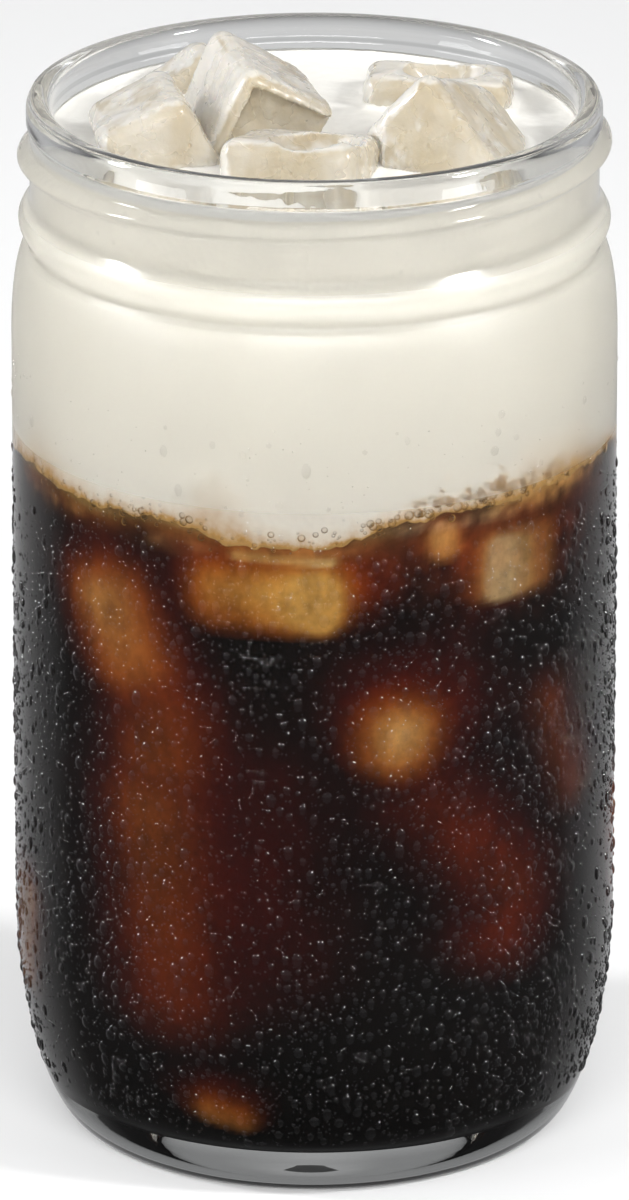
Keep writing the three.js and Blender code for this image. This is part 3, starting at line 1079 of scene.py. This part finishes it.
class COFFEE_OT_drops(Piece, bpy.types.Operator):
    """Scatter condensation over the outside of the jar"""

    bl_idname = "coffee.drops"
    bl_label = "Condensation"

    # Each kind: setting, shine, least and most width, sides, rings, height share and stretch
    KINDS = (
        ("large", 1.9, (0.42, 0.78), 12, 4, 0.55, 1.3),
        ("medium", 2.15, (0.18, 0.42), 7, 3, 0.55, 1.1),
        ("mist", 3.2, (0.09, 0.17), 5, 2, 0.6, 1.0),
    )
    LEVELS = (8.0, 108.0)
    TRIES_PER_DROP = 12
    # The higher this is, the more of a kind are small
    SMALLNESS = 2.2
    # Share of its width that a drop is sunk into the glass
    SUNK = 0.12
    SLOPE_STEP = 0.2
    # What keeps drops apart: cell of the grid, share of their widths, width that takes up room
    CELL = 1.5
    APART = 1.05
    LEAST_WIDTH = 0.16

    def execute(self, context):
        settings = context.scene.coffee_drops
        random = np.random.default_rng(settings.seed)
        outline = radius_finder(outer_rows())
        taken = {}
        for kind, shine, widths, sides, rings, share, stretch in self.KINDS:
            number = getattr(settings, kind)
            places = self.scatter(random, number, widths, stretch, outline, taken)
            beads = scattered_beads("drops_" + kind, places, sides, rings, share)
            dress(beads, drop_finish("water_drops_" + kind, shine), "glass")
        return {"FINISHED"}

    def scatter(self, random, number, widths, stretch, outline, taken):
        places = []
        tries = 0
        while len(places) < number and tries < number * self.TRIES_PER_DROP:
            tries += 1
            angle = random.uniform(-pi, pi)
            height = random.uniform(*self.LEVELS)
            width = widths[0] + (widths[1] - widths[0]) * random.random() ** self.SMALLNESS
            if random.random() > self.density(angle, height, width):
                continue
            if not self.free(taken, angle, height, width):
                continue
            radius = float(outline(height))
            slope = (radius - float(outline(height - self.SLOPE_STEP))) / self.SLOPE_STEP
            outward = (facing_out(angle) - Vector((0, 0, slope))).normalized()
            across = Vector((cos(angle), sin(angle), 0))
            up = outward.cross(across)
            place = facing_out(angle) * radius + Vector((0, 0, height))
            place -= outward * width * self.SUNK
            long = 1 + (stretch - 1) * random.random() * 2
            places.append((place * MM, outward, up, width * MM, long))
        return places

    def density(self, angle, height, width):
        """More dew low down and less over the cream, with dry runs where drops have run down."""
        over_cream = 1 - 0.93 * float(smoothstep(height, 88.0, 93.0))
        patch = noise.noise(Vector((sin(angle) * 2.2, cos(angle) * 2.2, height / 26)))
        crowd = 1.0
        if width > 0.4:
            away = (degrees(angle) - 28) / 42
            crowd = 0.45 + 0.55 * exp(-(away**2))
        return over_cream * crowd * min(max(0.62 + 0.6 * patch, 0.1), 1.0)

    def free(self, taken, angle, height, width):
        """Tells whether there is room for a drop, and if so takes it up."""
        x = angle * BODY_RADIUS
        cell = (int(x // self.CELL), int(height // self.CELL))
        for dx in (-1, 0, 1):
            for dz in (-1, 0, 1):
                for ox, oz, other in taken.get((cell[0] + dx, cell[1] + dz), ()):
                    if hypot(ox - x, oz - height) < (other + width) * self.APART:
                        return False
        if width > self.LEAST_WIDTH:
            taken.setdefault(cell, []).append((x, height, width))
        return True


class COFFEE_OT_bubbles(Piece, bpy.types.Operator):
    """Set bubbles along the line between cream and coffee"""

    bl_idname = "coffee.bubbles"
    bl_label = "Bubbles"

    SEED = 21
    TRIES = 1500
    # Where most bubbles are: middle and half width in degrees, and how high they rise
    CROWD_MIDDLE = 38
    CROWD_WIDTH = 24
    CROWD_RISE = 2.4

    def execute(self, context):
        drink = context.scene.coffee_drink
        random = np.random.default_rng(self.SEED)
        places = []
        for _ in range(self.TRIES):
            angle = random.uniform(-pi, pi)
            crowd = noise.noise(Vector((sin(angle) * 2.6, cos(angle) * 2.6, 1.7)))
            right = exp(-(((degrees(angle) - self.CROWD_MIDDLE) / self.CROWD_WIDTH) ** 2))
            if random.random() > 0.2 + 1.0 * max(crowd, 0) + 0.8 * right:
                continue
            width = 0.16 + (0.45 + 0.2 * right) * random.random() ** 3
            height = float(boundary_height(np.array([angle]))[0]) + random.normal(0.5, 0.9)
            height += self.CROWD_RISE * right * random.random()
            outward = facing_out(angle)
            place = outward * (INNER_RADIUS + WALL_OVERLAP - width * 0.3)
            place.z = height
            places.append((place * MM, outward, Vector((0, 0, 1)), width * MM, 1.0))
        bubbles = scattered_beads("foam_bubbles", places, 12, 4, 0.8)
        dress(bubbles, bubble_finish(drink.gold), "cream")
        return {"FINISHED"}


class COFFEE_OT_stage(Piece, bpy.types.Operator):
    """Set the floor, the lights and the camera"""

    bl_idname = "coffee.stage"
    bl_label = "Studio"

    # Each softbox: place, size, power and whether glass mirrors it
    LIGHTS = (
        ("softbox_right", (0.79, -0.36, 0.72), (0.15, 0.24), 7.4, True),
        ("softbox_left", (-0.9, -0.05, 0.62), (0.13, 0.3), 5.8, True),
        ("softbox_front", (0.0, -1.95, 1.1), (2.2, 0.75), 48.0, False),
        ("fill_left", (-1.8, -0.8, 0.5), (0.9, 1.2), 17.0, False),
        ("fill_right", (1.8, -0.8, 0.5), (0.9, 1.2), 15.0, False),
    )
    # What the glass mirrors below the level of the floor, and the air above it
    FRONT_AIR = (0.12, 0.12, 0.122)
    BACK_AIR = (1.25, 1.25, 1.26)
    UPPER_FRONT_AIR = (0.34, 0.34, 0.35)
    UPPER_BACK_AIR = (0.95, 0.955, 0.96)
    AIR_STRENGTH = 0.5
    # Directions between which each of the two goes from front to back, and lower goes to upper
    LOWER_TURN = (0.3, 1.0)
    UPPER_TURN = (-0.25, 0.4)
    LEVEL_TURN = (-0.15, -0.03)
    # Radius of the floor and middle of the jar, in metres
    FLOOR_SIZE = 2.4
    JAR_MIDDLE = Vector((0, 0, 0.07))

    def execute(self, context):
        stage = context.scene.coffee_stage
        self.floor(stage.floor)
        self.lights()
        self.camera(stage)
        return {"FINISHED"}

    def floor(self, colour):
        bpy.ops.mesh.primitive_circle_add(vertices=96, radius=self.FLOOR_SIZE, fill_type="NGON")
        floor = bpy.context.active_object
        floor.name = "studio_floor"
        floor.data.materials.append(floor_finish(colour))
        floor.visible_glossy = False
        floor.visible_transmission = False

    def lights(self):
        for name, place, (width, height), power, mirrored in self.LIGHTS:
            data = bpy.data.lights.new(name, "AREA")
            data.shape = "RECTANGLE"
            data.size = width
            data.size_y = height
            data.energy = power
            light = added(name, data)
            light.location = place
            light.visible_glossy = mirrored
            light.rotation_euler = self.aimed(Vector(place), self.JAR_MIDDLE)
        self.air()

    def air(self):
        world = bpy.data.worlds.new("studio_air")
        air = Nodes(world)
        direction = air.node("ShaderNodeTexCoord", None, None, "Generated")
        back = air.part(direction, "Y")
        lower = air.mix(back.step(*self.LOWER_TURN, "LINEAR"), self.FRONT_AIR, self.BACK_AIR)
        turn = back.step(*self.UPPER_TURN, "LINEAR")
        upper = air.mix(turn, self.UPPER_FRONT_AIR, self.UPPER_BACK_AIR)
        level = air.part(direction, "Z").step(*self.LEVEL_TURN, "LINEAR")
        background = air.tree.nodes["Background"]
        air.link(background.inputs["Color"], air.mix(level, lower, upper))
        air.link(background.inputs["Strength"], self.AIR_STRENGTH)
        bpy.context.scene.world = world

    def aimed(self, place, target):
        return (target - place).to_track_quat("-Z", "Y").to_euler()

    def camera(self, stage):
        data = bpy.data.cameras.new("camera")
        data.lens = stage.lens
        data.sensor_width = 36
        data.sensor_fit = "AUTO"
        data.clip_end = 50
        camera = added("camera", data)
        aim = Vector((0, 0, stage.aim_height))
        back = Vector((0, -cos(stage.elevation), sin(stage.elevation)))
        camera.location = aim + back * stage.distance
        camera.rotation_euler = self.aimed(camera.location, aim)
        bpy.context.scene.camera = camera
        bpy.context.scene.view_settings.view_transform = "Standard"


OPERATORS = (
    COFFEE_OT_stage,
    COFFEE_OT_jar,
    COFFEE_OT_sunk_ice,
    COFFEE_OT_coffee,
    COFFEE_OT_ice,
    COFFEE_OT_cream,
    COFFEE_OT_bubbles,
    COFFEE_OT_drops,
)


class COFFEE_PT_drink(bpy.types.Panel):
    """Lists the pieces of the drink"""

    bl_idname = "COFFEE_PT_drink"
    bl_label = "Iced salted coffee"
    bl_space_type = "VIEW_3D"
    bl_region_type = "UI"
    bl_category = "Iced coffee"

    def draw(self, context):
        for operator in OPERATORS:
            self.layout.operator(operator.bl_idname)


SETTINGS = {
    "coffee_jar": JarSettings,
    "coffee_drink": DrinkSettings,
    "coffee_ice": IceSettings,
    "coffee_drops": DropSettings,
    "coffee_stage": StageSettings,
}


def register():
    for name, group in SETTINGS.items():
        bpy.utils.register_class(group)
        setattr(bpy.types.Scene, name, bpy.props.PointerProperty(type=group))
    for item in (*OPERATORS, COFFEE_PT_drink):
        bpy.utils.register_class(item)


def unregister():
    for item in (COFFEE_PT_drink, *reversed(OPERATORS)):
        bpy.utils.unregister_class(item)
    for name, group in SETTINGS.items():
        delattr(bpy.types.Scene, name)
        bpy.utils.unregister_class(group)


def main():
    register()
    for operator in OPERATORS:
        group, name = operator.bl_idname.split(".")
        getattr(getattr(bpy.ops, group), name)()


if __name__ == "__main__":
    main()
